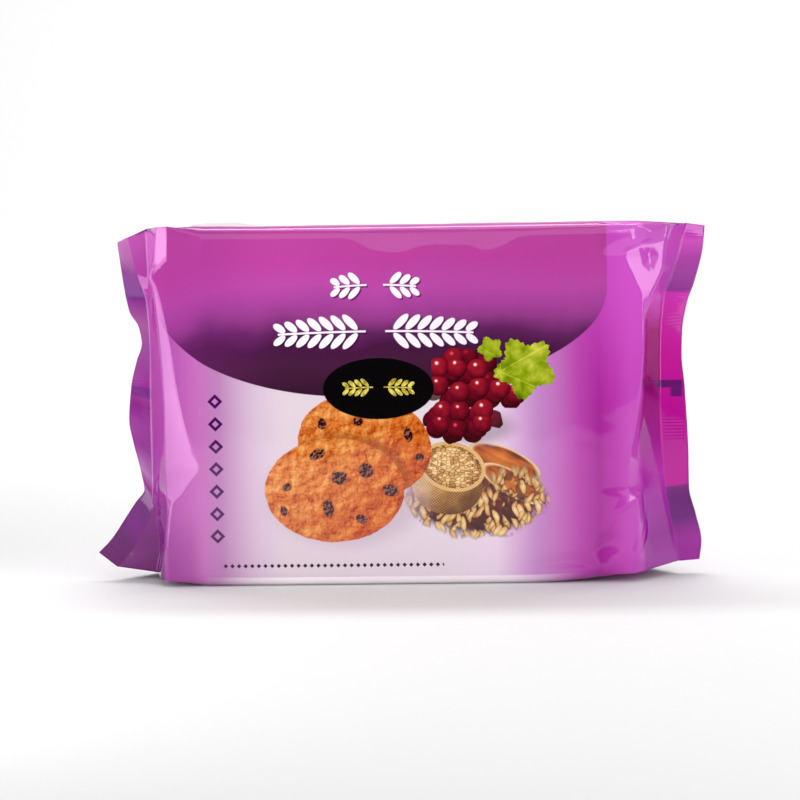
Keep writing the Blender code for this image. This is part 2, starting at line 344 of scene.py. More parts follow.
def body_face(x, share, way):
    """Points of the front (way -1) or back (way +1) face of the boxy middle."""
    height, inside = rounded_run(share * FACE_RUN, BODY_HEIGHT - 2 * CORNER_RADIUS)
    if way < 0:
        lean = top_lean(x, height)
    else:
        shoulder = (height - BODY_HEIGHT + BACK_SHOULDER_HEIGHT) / BACK_SHOULDER_HEIGHT
        lean = SHOULDER_LEAN * np.clip(shoulder, 0.0, 1.0) ** 2
    bulge = FACE_BULGE * (1.0 - (x / BACK_CREASE_X) ** 2) * np.sin(math.pi * height / BODY_HEIGHT)
    depth = way * (BODY_DEPTH / 2 - inside - lean + bulge)
    if way < 0:
        depth = depth + dent_depth(x, height)
    upward = height / BODY_HEIGHT
    height = height + foot_lift(x) * (1.0 - upward) ** 4
    height = height + (TOP_CROWN + TOP_RISE * (x / BACK_CREASE_X) ** 2) * upward**6
    return np.stack((np.full(np.shape(height), x), depth, height), axis=-1)


def dent_depth(x, z):
    """How deep the dents press the film in: flat facets from each outline to its point."""
    total = np.zeros(np.shape(x))
    for (point_x, point_z), depth, outline in DENTS:
        for (first_x, first_z), (next_x, next_z) in zip(outline, (*outline[1:], outline[0])):
            area = (first_x - point_x) * (next_z - point_z) - (next_x - point_x) * (first_z - point_z)
            first = ((x - point_x) * (next_z - point_z) - (next_x - point_x) * (z - point_z)) / area
            following = ((first_x - point_x) * (z - point_z) - (x - point_x) * (first_z - point_z)) / area
            inside = (first >= 0.0) & (following > 0.0) & (first + following < 1.0)
            total = total + np.where(inside, depth * (1.0 - first - following), 0.0)
    return total


def bend(start, crease, end, along, crispness):
    """A path past a crease: a soft curve at crispness 0, two straight legs at 1."""
    soft = (1 - along) ** 2 * start + 2 * along * (1 - along) * crease + along**2 * end
    first_leg = blend(start, crease, min(2 * along, 1.0))
    legs = blend(first_leg, end, max(2 * along - 1.0, 0.0))
    return blend(soft, legs, crispness)


def along_path(path, run):
    """Points at one length of run along a straight-legged path, for each row."""
    legs = np.linalg.norm(np.diff(path, axis=0), axis=-1)
    ends = np.vstack((np.zeros(legs.shape[1]), np.cumsum(legs, axis=0)))
    place = path[0].copy()
    for index in range(len(legs)):
        share = np.clip((run - ends[index]) / legs[index], 0.0, 1.0)
        place = place + (path[index + 1] - path[index]) * share[:, None]
    return place


def rounded_path(path, along, rounding):
    """A point of a straight-legged path whose corners are rounded by averaging."""
    total = np.linalg.norm(np.diff(path, axis=0), axis=-1).sum(axis=0)
    reach = np.minimum(rounding, np.minimum(along, 1.0 - along) * total)
    weights = 1.0 - np.abs(np.linspace(-1.0, 1.0, 11))[1:-1]
    shifts = np.linspace(-1.0, 1.0, 11)[1:-1]
    place = sum(
        weight * along_path(path, along * total + shift * reach)
        for weight, shift in zip(weights, shifts)
    )
    return place / weights.sum()


def fin_offset(side, share):
    """Half the fin's thickness, level and square to the fin, at each height."""
    run = FIN_EDGE_LINE[side](share) - FIN_START_LINE[side](share)
    backward = np.stack((-run[..., 1], run[..., 0], np.zeros(run.shape[:-1])), axis=-1)
    backward = backward * np.sign(run[..., :1])
    return backward / np.linalg.norm(backward, axis=-1, keepdims=True) * FIN_THICKNESS / 2


def film(station, share, way):
    """Points of the front (way -1) or back (way +1) film at one station.

    share is each point's share of the film's height. A station is ("middle", x),
    ("taper", side, share of the way to the fin) or ("fin", side, share of its width).
    """
    share = np.asarray(share, float)
    if station[0] == "middle":
        return body_face(station[1], share, way)
    _, side, along = station
    offset = way * fin_offset(side, share)
    fin_start = FIN_START_LINE[side](share) + offset
    if station[0] == "fin":
        return blend(fin_start, FIN_EDGE_LINE[side](share) + offset, along)
    face_end = body_face(TAPER_START[side], share, way)
    if way > 0:
        crease = np.array(face_end)
        crease[..., 0] = math.copysign(BACK_CREASE_X, TAPER_START[side])
        crease[..., 1] = BODY_DEPTH / 2 - BACK_CREASE_INSET
        return bend(face_end, crease, fin_start, along, BACK_CREASE_CRISPNESS)
    path = np.array([face_end, *(line(share) for line in TURN_LINES[side]), fin_start])
    if side == "left":
        path[0, :, 0] = np.maximum(path[0, :, 0], path[1, :, 0] + 1.0)
    places = rounded_path(path, along, TURN_ROUNDING)
    places[..., 1] += dent_depth(places[..., 0], places[..., 2])
    return places


def tuck_depth(station, opening):
    """How far the long side folds in between the films, and the crown left at its edge."""
    if station[0] == "middle":
        return 0.0, 0.0
    if station[0] == "fin":
        return 0.0, FIN_EDGE_CROWN
    along = station[2]
    closed = smooth_step(along, TUCK_CLOSES_FROM, 1.0)
    reach = math.sqrt(max((BODY_DEPTH / 2) ** 2 - opening**2, 0.0))
    return reach * smooth_step(along, 0.0, TUCK_OPENS_BY) * (1.0 - closed), FIN_EDGE_CROWN * closed


def long_side(station, upward):
    """The top (upward 1) or foot (upward -1) from its front edge to its back edge."""
    edge = (1.0 + upward) / 2
    front, back = (film(station, np.array([edge]), way)[0] for way in (-1, 1))
    half = (back - front) / 2
    tuck, crown = tuck_depth(station, np.linalg.norm(half))
    runs = np.linspace(0.0, 1.0, SIDE_ROWS + 2)[1:-1]
    along, inside = rounded_run(runs * SIDE_RUN, BODY_DEPTH - 2 * CORNER_RADIUS)
    corner_inside = CORNER_RADIUS * (1.0 - math.cos(math.pi / 4))
    across = (2.0 * along - BODY_DEPTH) / (BODY_DEPTH - 2.0 * corner_inside)
    share = edge - upward * tuck * (1.0 - np.abs(across)) / BODY_HEIGHT
    middle_line = (film(station, share, 1) + film(station, share, -1)) / 2
    places = middle_line + across[:, None] * half
    squareness = 1.0 if station[0] == "middle" else 0.0
    if station[0] == "taper":
        squareness = max(1.0 - 2.0 * station[2], 0.0)
    lift = (corner_inside - inside) * squareness + crown * (1.0 - across**2)
    places[:, 2] += upward * lift
    if upward > 0:
        sag = TOP_SAG * smooth_step(places[:, 0], TOP_SAG_FROM, TOP_SAG_FROM + 20.0)
        places[:, 2] -= sag * squareness * smooth_step(across, -0.95, 0.2)
    return places, across


def seam_relief(z):
    """How far the folded seam stands off the back film."""
    into = np.minimum(z - SEAM_FOOT, SEAM_FOOT + SEAM_WIDTH - z)
    return SEAM_THICKNESS * np.clip(into / SEAM_STEP, 0.0, 1.0)


def back_shares():
    """Shares of the back film's height, closer at the seam's steps."""
    steps = np.array((0.0, SEAM_STEP, SEAM_WIDTH - SEAM_STEP, SEAM_WIDTH)) + SEAM_FOOT
    steps = (steps - CORNER_RADIUS + HALF_ARC) / FACE_RUN
    even = np.linspace(0.0, 1.0, BACK_ROWS - 4)
    return np.sort(np.concatenate((even, steps)))


def stations():
    """Every station from the left fin's free edge to the right one's."""
    to_right = [("taper", "right", along) for along in np.linspace(0.0, 1.0, TAPER_STEPS + 1)]
    to_right += [("fin", "right", along) for along in np.linspace(0.0, 1.0, FIN_STEPS + 1)[1:]]
    to_left = [(kind, "left", along) for kind, _, along in to_right]
    middle = np.linspace(TAPER_START["left"], TAPER_START["right"], MIDDLE_STEPS + 1)[1:-1]
    return to_left[::-1] + [("middle", x) for x in middle] + to_right


def ring(station):
    """One closed loop round the pack, as points and as (share, way) of each point."""
    front_shares = np.linspace(0.0, 1.0, FRONT_ROWS)
    shares = back_shares()
    back = film(station, shares, 1)
    top, across = long_side(station, 1)
    foot, _ = long_side(station, -1)
    places = np.vstack((film(station, front_shares, -1), top, back[::-1], foot[::-1]))
    heights = np.concatenate((front_shares, np.ones(SIDE_ROWS), shares[::-1], np.zeros(SIDE_ROWS)))
    ways = np.concatenate((-np.ones(FRONT_ROWS), across, np.ones(BACK_ROWS), -across))
    return places, np.stack((heights, ways), axis=-1)


def fin_place(station):
    """0 at a fin's start, 1 at its free edge, and down to -1 along its taper."""
    if station[0] == "fin":
        return station[2]
    if station[0] == "taper":
        return station[2] - 1.0
    return -1.0


def ripples(places, spacing, height, seed):
    """Smooth random heights over the film."""
    offset = Vector((seed * 17.3, seed * 5.1, seed * 9.7))
    flat = places.reshape(-1, 3) / spacing
    heights = [noise.noise(Vector(place) + offset) for place in flat]
    return height * np.array(heights).reshape(places.shape[:2])


def outward(rings):
    """Unit normals of the grid of rings."""
    along = np.gradient(rings, axis=0)
    around = np.roll(rings, -1, axis=1) - np.roll(rings, 1, axis=1)
    normals = np.cross(along, around)
    return normals / np.maximum(np.linalg.norm(normals, axis=-1, keepdims=True), 1e-9)


def film_grid():
    """Rings of points of the rippled film, with each point's print coordinates."""
    every = stations()
    loops = [ring(station) for station in every]
    rings = np.array([places for places, _ in loops])
    marks = np.array([mark for _, mark in loops])
    steps = np.linalg.norm(np.diff(rings, axis=0), axis=-1)
    run = np.vstack((np.zeros(rings.shape[1]), np.cumsum(steps, axis=0)))
    middle = len(every) // 2
    run -= run[middle] - rings[middle, :, 0]
    relief = ripples(rings, RIPPLE_LENGTH, RIPPLE_HEIGHT, 1.0)
    relief += ripples(rings, CRINKLE_LENGTH, CRINKLE_HEIGHT, 2.0)
    grounded = smooth_step(rings[:, :, 2], 0.5, 8.0)
    rings = rings + outward(rings) * (relief * grounded)[:, :, None]
    seam = seam_relief(CORNER_RADIUS - HALF_ARC + marks[:, :, 0] * FACE_RUN)
    rings[:, :, 1] += np.where(marks[:, :, 1] == 1.0, seam, 0.0)
    fins = np.array([fin_place(station) for station in every])
    shift = np.array((*FRAME_SHIFT, rings[:, :, 2].min()))
    return rings - shift, run, marks, fins


def add_object(name, data):
    """A new object in the scene, for a mesh, a camera or a light."""
    thing = bpy.data.objects.new(name, data)
    bpy.context.scene.collection.objects.link(thing)
    return thing


def film_object():
    """The film's mesh, with its print coordinates as attributes."""
    rings, run, marks, fins = film_grid()
    count, size = rings.shape[:2]
    index = np.arange(count * size).reshape(count, size)
    following = np.roll(index, -1, axis=1)
    corners = (index[:-1], following[:-1], following[1:], index[1:])
    quads = np.stack(corners, axis=-1).reshape(-1, 4)
    caps = [*end_cap(index[0])[::-1], *(cap[::-1] for cap in end_cap(index[-1]))]
    mesh = bpy.data.meshes.new("film")
    mesh.from_pydata((rings.reshape(-1, 3) * MILLIMETRE).tolist(), [], quads.tolist() + caps)
    height = marks[:, :, 0] * BODY_HEIGHT
    place = np.stack((run, height, marks[:, :, 1]), axis=-1)
    add_attribute(mesh, "print_place", place)
    add_attribute(mesh, "fin_share", np.broadcast_to(fins[:, None], run.shape))
    mesh.validate()
    mesh.shade_smooth()
    return add_object("film", mesh)


def end_cap(loop):
    """Faces that close a fin's free edge, rung by rung up its height."""
    loop = loop.tolist()
    front = loop[:FRONT_ROWS]
    back = loop[FRONT_ROWS + SIDE_ROWS : FRONT_ROWS + SIDE_ROWS + BACK_ROWS][::-1]
    top = loop[FRONT_ROWS : FRONT_ROWS + SIDE_ROWS]
    foot = loop[-SIDE_ROWS:]
    faces = []
    passed = 0
    for rung in range(FRONT_ROWS - 1):
        reached = round((rung + 1) * (BACK_ROWS - 1) / (FRONT_ROWS - 1))
        corners = [front[rung], front[rung + 1], back[reached]]
        if reached > passed:
            corners.append(back[passed])
        faces.append(corners)
        passed = reached
    faces.append([front[-1], *top, back[-1]])
    faces.append([back[0], *foot, front[0]])
    return faces


def add_attribute(mesh, name, values):
    """Stores a number or a vector for each point of the grid of rings."""
    kind, key = ("FLOAT", "value") if values.ndim == 2 else ("FLOAT_VECTOR", "vector")
    stored = mesh.attributes.new(name, kind, "POINT")
    stored.data.foreach_set(key, np.ascontiguousarray(values, dtype=np.float32).ravel())


def ink(red, green, blue):
    """Linear ink colour for a colour seen on the glossy film, given as 0-255 values."""
    linear = []
    for value in (red, green, blue):
        share = value / 255.0
        light = share / 12.92 if share <= 0.04045 else ((share + 0.055) / 1.055) ** 2.4
        linear.append(max(light - GLOSS_LIFT, 0.0))
    return (*linear, 1.0)


class Field:
    """A number that varies over the film, worked out by shader maths nodes."""

    tree = None

    def __init__(self, socket):
        self.socket = socket

    @classmethod
    def maths(cls, operation, *values):
        node = cls.tree.nodes.new("ShaderNodeMath")
        node.operation = operation
        for index, value in enumerate(values):
            if isinstance(value, Field):
                cls.tree.links.new(value.socket, node.inputs[index])
            else:
                node.inputs[index].default_value = value
        return cls(node.outputs[0])

    def __add__(self, other):
        return self.maths("ADD", self, other)

    def __sub__(self, other):
        return self.maths("SUBTRACT", self, other)

    def __rsub__(self, other):
        return self.maths("SUBTRACT", other, self)

    def __mul__(self, other):
        return self.maths("MULTIPLY", self, other)

    def __truediv__(self, other):
        return self.maths("DIVIDE", self, other)

    def __neg__(self):
        return self.maths("MULTIPLY", self, -1.0)


def square(value):
    return value * value


def lesser(first, second):
    return Field.maths("MINIMUM", first, second)


def greater(first, second):
    return Field.maths("MAXIMUM", first, second)


def magnitude(value):
    return Field.maths("ABSOLUTE", value)


def root(value):
    return Field.maths("SQRT", value)


def either(*masks):
    """The greatest of several masks at each place."""
    total = masks[0]
    for mask in masks[1:]:
        total = greater(total, mask)
    return total


def rise(value, low, high):
    """0 where value is under low and 1 where it is over high."""
    node = Field.tree.nodes.new("ShaderNodeMapRange")
    node.interpolation_type = "SMOOTHSTEP"
    Field.tree.links.new(value.socket, node.inputs["Value"])
    node.inputs["From Min"].default_value = min(low, high)
    node.inputs["From Max"].default_value = max(low, high)
    node.inputs["To Min"].default_value = 0.0 if high > low else 1.0
    node.inputs["To Max"].default_value = 1.0 if high > low else 0.0
    return Field(node.outputs["Result"])


def between(value, low, high, softness=0.1):
    """1 where value lies between low and high, and 0 elsewhere."""
    return rise(value, low - softness, low + softness) * rise(value, high + softness, high - softness)


def split(socket):
    """The three numbers of a vector or colour socket."""
    node = Field.tree.nodes.new("ShaderNodeSeparateXYZ")
    Field.tree.links.new(socket, node.inputs[0])
    return tuple(Field(output) for output in node.outputs)


def join(x, z):
    """A vector socket from two numbers."""
    node = Field.tree.nodes.new("ShaderNodeCombineXYZ")
    for index, value in enumerate((x, z)):
        Field.tree.links.new(value.socket, node.inputs[index])
    return node.outputs[0]


def attribute(name):
    """The outputs of a node that reads one of the mesh's attributes."""
    node = Field.tree.nodes.new("ShaderNodeAttribute")
    node.attribute_name = name
    return node.outputs


def grouped(build, *inputs):
    """The colour that build gives, worked out in a node group, which is quick to edit."""
    outer = Field.tree
    group = bpy.data.node_groups.new("print", "ShaderNodeTree")
    node = outer.nodes.new("ShaderNodeGroup")
    for number, value in enumerate(inputs):
        kind = "NodeSocketFloat" if isinstance(value, Field) else "NodeSocketColor"
        group.interface.new_socket(f"input {number}", in_out="INPUT", socket_type=kind)
    group.interface.new_socket("colour", in_out="OUTPUT", socket_type="NodeSocketColor")
    inward = group.nodes.new("NodeGroupInput")
    outward = group.nodes.new("NodeGroupOutput")
    Field.tree = group
    inside = [
        Field(socket) if isinstance(value, Field) else socket
        for value, socket in zip(inputs, inward.outputs)
    ]
    group.links.new(build(*inside), outward.inputs[0])
    Field.tree = outer
    node.node_tree = group
    for value, socket in zip(inputs, node.inputs):
        outer.links.new(value.socket if isinstance(value, Field) else value, socket)
    return node.outputs[0]


@functools.lru_cache(maxsize=None)
def cloud(x, z, size, detail=2.0):
    """Smooth random field between 0 and 1, with blobs of about the given size."""
    node = Field.tree.nodes.new("ShaderNodeTexNoise")
    node.noise_dimensions = "2D"
    Field.tree.links.new(join(x, z), node.inputs["Vector"])
    node.inputs["Scale"].default_value = 1.0 / size
    node.inputs["Detail"].default_value = detail
    return Field(node.outputs[0])


def voronoi(x, z, size, randomness, feature):
    """The outputs of a node that divides the film into random cells."""
    node = Field.tree.nodes.new("ShaderNodeTexVoronoi")
    node.voronoi_dimensions = "2D"
    node.feature = feature
    Field.tree.links.new(join(x, z), node.inputs["Vector"])
    node.inputs["Scale"].default_value = 1.0 / size
    node.inputs["Randomness"].default_value = randomness
    return node.outputs


def cells(x, z, size, randomness=1.0):
    """Random cells: the distance from each cell's middle, its own number and its middle."""
    outputs = voronoi(x, z, size, randomness, "F1")
    own = split(outputs["Color"])[0]
    middle_x, middle_z, _ = split(outputs["Position"])
    return Field(outputs["Distance"]) * size, own, middle_x, middle_z


def cell_borders(x, z, size):
    """The distance from the border between random cells, in millimetres."""
    return Field(voronoi(x, z, size, 1.0, "DISTANCE_TO_EDGE")["Distance"]) * size


def turned(x, z, middle, angle):
    """Coordinates about a middle, turned by an angle in degrees."""
    cosine, sine = math.cos(math.radians(angle)), math.sin(math.radians(angle))
    from_x, from_z = x - middle[0], z - middle[1]
    return from_x * cosine + from_z * sine, from_z * cosine - from_x * sine


def reach(x, z, middle, radii, angle=0.0):
    """Distance from an ellipse's middle, as a share of its radii."""
    along, across = turned(x, z, middle, angle)
    return root(square(along / radii[0]) + square(across / radii[1]))


def disc(x, z, middle, radii, angle=0.0, softness=0.3):
    """1 inside an ellipse and 0 outside, with an edge softness in millimetres."""
    margin = softness / min(radii)
    return rise(reach(x, z, middle, radii, angle), 1.0 + margin / 2, 1.0 - margin / 2)


def paint(under, colour, mask):
    """Lays a colour over another where the mask is 1. Both are sockets or 0-255 values."""
    node = Field.tree.nodes.new("ShaderNodeMix")
    node.data_type = "RGBA"
    Field.tree.links.new(mask.socket, node.inputs["Factor"])
    for socket, value in ((node.inputs[6], under), (node.inputs[7], colour)):
        if isinstance(value, tuple):
            socket.default_value = ink(*value)
        else:
            Field.tree.links.new(value, socket)
    return node.outputs[2]


def graded(value, stops):
    """A colour that changes with value through (place, colour) stops."""
    node = Field.tree.nodes.new("ShaderNodeValToRGB")
    low, high = stops[0][0], stops[-1][0]
    share = (value - low) / (high - low)
    Field.tree.links.new(share.socket, node.inputs[0])
    ramp = node.color_ramp
    while len(ramp.elements) < len(stops):
        ramp.elements.new(0.5)
    for element, (place, _) in zip(ramp.elements, stops):
        element.position = (place - low) / (high - low)
    for element, (_, colour) in zip(ramp.elements, stops):
        element.color = ink(*colour)
    return node.outputs[0]


DOME_MIDDLE = (-18.2, 116.3)
DOME_REACH = {"left": 78.3, "right": 99.5, "down": 41.4}

FIELD_STOPS = (
    (-110.0, (137, 46, 132)),
    (-96.0, (146, 57, 142)),
    (-86.0, (172, 86, 164)),
    (-78.0, (184, 104, 174)),
    (-70.0, (177, 124, 173)),
    (-62.5, (197, 160, 194)),
    (-54.5, (210, 188, 208)),
    (-45.0, (219, 203, 213)),
    (20.0, (227, 213, 224)),
    (38.0, (233, 211, 230)),
    (46.5, (214, 170, 214)),
    (54.0, (195, 137, 197)),
    (62.0, (194, 111, 187)),
    (70.0, (183, 71, 171)),
    (78.0, (165, 45, 151)),
    (84.0, (184, 56, 170)),
    (90.0, (196, 76, 187)),
    (110.0, (196, 76, 187)),
)
DOME_STOPS = (
    (74.0, (53, 28, 46)),
    (82.0, (64, 32, 55)),
    (88.0, (70, 34, 61)),
    (94.0, (72, 30, 66)),
    (100.0, (97, 40, 93)),
    (106.0, (145, 61, 133)),
    (112.0, (168, 69, 155)),
    (118.0, (182, 74, 163)),
    (128.0, (185, 67, 155)),
    (140.0, (183, 70, 153)),
)


DOME_LEFT_COLOUR = (112, 40, 112)
UPPER_RIGHT_COLOUR = (218, 92, 210)
# Painted shade for the lower left end of the front
LOWER_LEFT_SHADE_COLOUR = (126, 34, 118)
# A painted highlight along the rounded foot edge
FOOT_HIGHLIGHT_COLOUR = (254, 244, 250)

# Where a painted reflection of a light makes the film paler at the front's upper left: left of a line, and
# above a slant
LIT_CORNER_X = -89.4
LIT_CORNER_SLANT = 216.7
LIT_CORNER_REFLECTION_COLOUR = (222, 140, 210)


def dome_share(x, z):
    """Distance from the dome's middle, as a share of its reach on each side."""
    from_middle = x - DOME_MIDDLE[0]
    leftward = -lesser(from_middle, 0.0) / DOME_REACH["left"]
    rightward = greater(from_middle, 0.0) / DOME_REACH["right"]
    downward = -lesser(z - DOME_MIDDLE[1], 0.0) / DOME_REACH["down"]
    return root(square(leftward + rightward) + square(downward))


def front_field(x, z):
    """The pale field, the violet towards both ends and the dark dome over it, with a painted reflection at
    the upper left, painted shade at the lower left and a painted highlight along the foot.
    """
    field = graded(x, FIELD_STOPS)
    drift = (cloud(x, z, 26.0) - 0.5) * 9.0 + rise(x, -72.0, -92.0) * 8.0
    dome = graded(z + drift, DOME_STOPS)
    # The painted reflection of a light over the dome at the front's upper left corner
    above_slant = z - x - LIT_CORNER_SLANT + (cloud(x, z, 2.0) - 0.5) * 2.0
    lit_corner = rise(x - LIT_CORNER_X, 0.2, -0.2) * rise(above_slant, -0.3, 0.3)
    dome = paint(dome, DOME_LEFT_COLOUR, rise(x, -40.0, -90.0) * 0.36)
    dome = paint(dome, LIT_CORNER_REFLECTION_COLOUR, lit_corner * 0.55)
    upper_right = rise(z, 66.0, 122.0) * rise(x, 64.0, 84.0)
    field = paint(field, UPPER_RIGHT_COLOUR, upper_right * 0.6)
    # Painted shade over the lower left end of the front, where the film turns away
    lower_left_shade = rise(z, 34.0, 12.0) * rise(x, -76.0, -84.0)
    field = paint(field, LOWER_LEFT_SHADE_COLOUR, lower_left_shade * 0.4)
    # Painted highlight: a pale band along the rounded foot edge, just above the ground
    foot = rise(z, 3.0, 2.4) * rise(magnitude(x + 4.0), 78.0, 34.0)
    field = paint(field, FOOT_HIGHLIGHT_COLOUR, foot)
    return paint(field, dome, rise(dome_share(x, z), 1.004, 0.997))


# The pictured food, as middles and radii in millimetres of film, and turns in degrees
FRONT_COOKIE = ((-25.4, 37.6), (27.3, 20.8), 0.0)
REAR_COOKIE = ((-13.4, 55.5), (26.2, 20.6), -12.0)
FRONT_RAISINS = (
    ((-32.0, 52.0), (3.0, 1.8), 28.0),
    ((-23.5, 42.6), (2.9, 2.5), 0.0),
    ((-13.0, 45.2), (2.5, 2.9), 20.0),
    ((-44.0, 39.0), (1.8, 1.3), 30.0),
    ((-3.6, 37.4), (2.7, 2.3), -10.0),
    ((-28.0, 30.6), (2.0, 3.2), 8.0),
    ((-45.5, 29.5), (1.3, 1.9), 10.0),
    ((-15.0, 26.0), (2.1, 1.6), -20.0),
)
REAR_RAISINS = (
    ((-30.0, 64.0), (1.6, 2.1), 15.0),
    ((-16.0, 65.0), (1.9, 1.6), 0.0),
    ((3.6, 59.5), (1.6, 2.7), 12.0),
    ((8.0, 50.5), (1.8, 1.4), 0.0),
)
GRAPE_CLUSTER = (
    ((26.0, 84.5), (11.5, 6.5), 0.0),
    ((29.5, 75.0), (16.5, 7.5), 0.0),
    ((24.5, 65.0), (12.5, 7.0), 0.0),
)
GRAPE_SPACING = 7.6
GRAPE_RADIUS = 4.1
LEAF = {"middle": (49.5, 85.5), "stalk": (39.5, 84.0), "radius": 12.4, "angle": -24.0}
SMALL_LEAF = {"middle": (36.0, 93.0), "stalk": (40.0, 88.5), "radius": 5.0, "angle": 40.0}
BOWL_MOUTH = ((20.6, 46.5), (11.6, 8.4), -16.0)
BOWL_BODY = ((18.6, 39.0), (13.8, 11.6), -10.0)
GRAIN_PATCH = ((29.5, 36.0), (27.0, 18.0), -8.0)
SCOOPS = (((41.0, 48.5), (15.0, 5.4), -24.0), ((44.0, 39.5), (14.0, 4.8), -32.0))
OVAL = ((-7.7, 77.9), (21.6, 12.1), 0.0)

# Soft shadows, each with its softness and its colour
FIELD_SHADOWS = (
    (((-21.0, 35.5), (31.0, 20.5), 0.0), 9.0, (184, 160, 178)),
    (((31.0, 62.0), (13.0, 6.5), 0.0), 5.0, (120, 90, 110)),
)
COOKIE_SHADOW = (((-23.0, 39.5), (27.6, 20.8), 0.0), 3.0, (130, 50, 16))
SHADOW_STRENGTH = 0.5

# Plain ornaments on the dome, in the oval, up the left side and along the foot
TITLE_EARS = (((-8.5, 118.5), 17.5, 8.0), ((-8.5, 100.5), 42.0, 9.5))
OVAL_EARS = ((-7.7, 78.5), 15.5, 5.2)
COLUMN_X = -71.6
COLUMN_SPAN = (15.0, 78.0)
COLUMN_SPACING = 9.0
RULE_SPAN = (-70.0, 17.0)
RULE_Z = 7.4
RULE_SPACING = 2.6
TITLE_COLOUR = (252, 240, 252)
TITLE_SHADOW = (58, 20, 58)
TITLE_SHADOW_SHIFT = 0.6
OVAL_COLOUR = (8, 3, 5)
GOLD_STOPS = ((0.3, (150, 128, 30)), (0.7, (240, 226, 110)))
COLUMN_COLOUR = (70, 22, 84)
RULE_COLOUR = (40, 18, 44)

CRUMB_PALE = (
    (0.0, (155, 62, 23)),
    (0.3, (196, 98, 38)),
    (0.55, (212, 121, 54)),
    (0.8, (222, 143, 74)),
    (1.0, (231, 170, 98)),
)
CRUMB_DEEP = (
    (0.0, (135, 41, 18)),
    (0.3, (183, 70, 18)),
    (0.55, (203, 90, 25)),
    (0.8, (215, 115, 41)),
    (1.0, (225, 143, 61)),
)
RAISIN_STOPS = ((0.3, (44, 16, 12)), (0.52, (88, 42, 30)), (0.68, (140, 92, 74)))
GRAPE_STOPS = (
    (0.0, (62, 18, 21)),
    (0.3, (112, 20, 38)),
    (0.6, (166, 32, 46)),
    (0.85, (208, 78, 82)),
    (1.0, (250, 222, 216)),
)
LEAF_STOPS = (
    (0.0, (76, 105, 18)),
    (0.4, (134, 156, 22)),
    (0.75, (184, 192, 52)),
    (1.0, (212, 212, 84)),
)
OAT_STOPS = (
    (0.0, (93, 53, 21)),
    (0.35, (178, 120, 55)),
    (0.65, (221, 178, 107)),
    (1.0, (245, 219, 171)),
)
STRAW_STOPS = (
    (0.0, (34, 18, 18)),
    (0.4, (105, 44, 18)),
    (0.65, (183, 89, 23)),
    (1.0, (227, 139, 51)),
)
SACK_STOPS = (
    (0.0, (44, 24, 8)),
    (0.4, (112, 72, 28)),
    (0.65, (176, 126, 62)),
    (1.0, (232, 194, 124)),
)


@functools.lru_cache(maxsize=None)
def raised(x, z, size):
    """Light and shade of a rough surface that is lit from its upper left."""
    shift = 0.22 * size
    return cloud(x, z, size, 1.0) - cloud(x - shift, z + shift, size, 1.0)


@functools.lru_cache(maxsize=None)
def crust(x, z):
    """Tone of a crumbly crust, dark in its cracks and light on its bumps."""
    bent_x = x + (cloud(x, z, 1.8) - 0.5) * 3.0
    bent_z = z + (cloud(x + 31.0, z, 1.8) - 0.5) * 3.0
    crack = rise(cell_borders(bent_x, bent_z, 3.3), 0.4, 0.02)
    crack = crack * rise(cloud(x, z, 4.0), 0.36, 0.52)
    bumps = raised(x, z, 2.4) * 0.9 + raised(x, z, 7.0) * 1.3
    return bumps + 0.63 - crack * 0.34 + (cloud(x, z, 0.9) - 0.5) * 0.35


def cookie(under, x, z, shape, raisins):
    """A plain round cookie with a crumbly, cracked face and a few raisins."""
    share = reach(x, z, *shape) + (cloud(x, z, 3.2) - 0.5) * 0.03
    along, across = turned(x, z, shape[0], 0.0)
    tone = crust(x, z) + across / shape[1][1] * 0.06 - rise(share, 0.9, 1.02) * 0.12
    warmth = along / shape[1][0] * 0.6 - across / shape[1][1] * 0.35 + (cloud(x, z, 7.0) - 0.5)
    face = paint(graded(tone, CRUMB_PALE), graded(tone, CRUMB_DEEP), rise(warmth, -0.4, 0.75))
    lump = raised(x, z, 1.5) * 2.4 + 0.46
    ragged_raisin = (cloud(x, z, 2.2) - 0.5) * 0.6
    shares = [reach(x, z, *raisin) + ragged_raisin for raisin in raisins]
    hollow = either(*(rise(own_share, 1.45, 1.0) for own_share in shares))
    face = paint(face, (150, 62, 24), hollow * 0.45)
    spots = either(*(rise(own_share, 1.12, 0.98) for own_share in shares))
    face = paint(face, graded(lump, RAISIN_STOPS), spots)
    return paint(under, face, rise(share, 1.008, 0.99))


def grapes(under, x, z):
    """A bunch of round grapes, in three layers of discs that sit in random cells."""
    for shift, dimming in ((3.8, 0.26), (1.9, 0.12), (0.0, 0.0)):
        distance, own, middle_x, middle_z = cells(x + shift, z + shift, GRAPE_SPACING, 0.4)
        inside = [
            1.0 - reach(middle_x - shift, middle_z - shift, *part) for part in GRAPE_CLUSTER
        ]
        present = rise(either(*inside), -0.01, 0.01)
        from_x = (x + shift - middle_x) / GRAPE_RADIUS
        from_z = (z + shift - middle_z) / GRAPE_RADIUS
        ball = root(greater(1.0 - square(from_x) - square(from_z), 0.0))
        light = ball * 0.34 + from_z * 0.2 - from_x * 0.1 + own * 0.2 + (z - 72.0) / 120.0
        glow = rise(root(square(from_x - 0.25) + square(from_z + 0.4)), 0.6, 0.1) * 0.1
        glint = rise(root(square(from_x + 0.2) + square(from_z - 0.45)), 0.3, 0.05)
        tone = light + glow - dimming + glint * (0.5 - dimming) + (cloud(x, z, 2.5) - 0.5) * 0.2
        disc_edge = rise(distance, GRAPE_RADIUS + 0.15, GRAPE_RADIUS - 0.15)
        under = paint(under, graded(tone, GRAPE_STOPS), disc_edge * present)
    return under


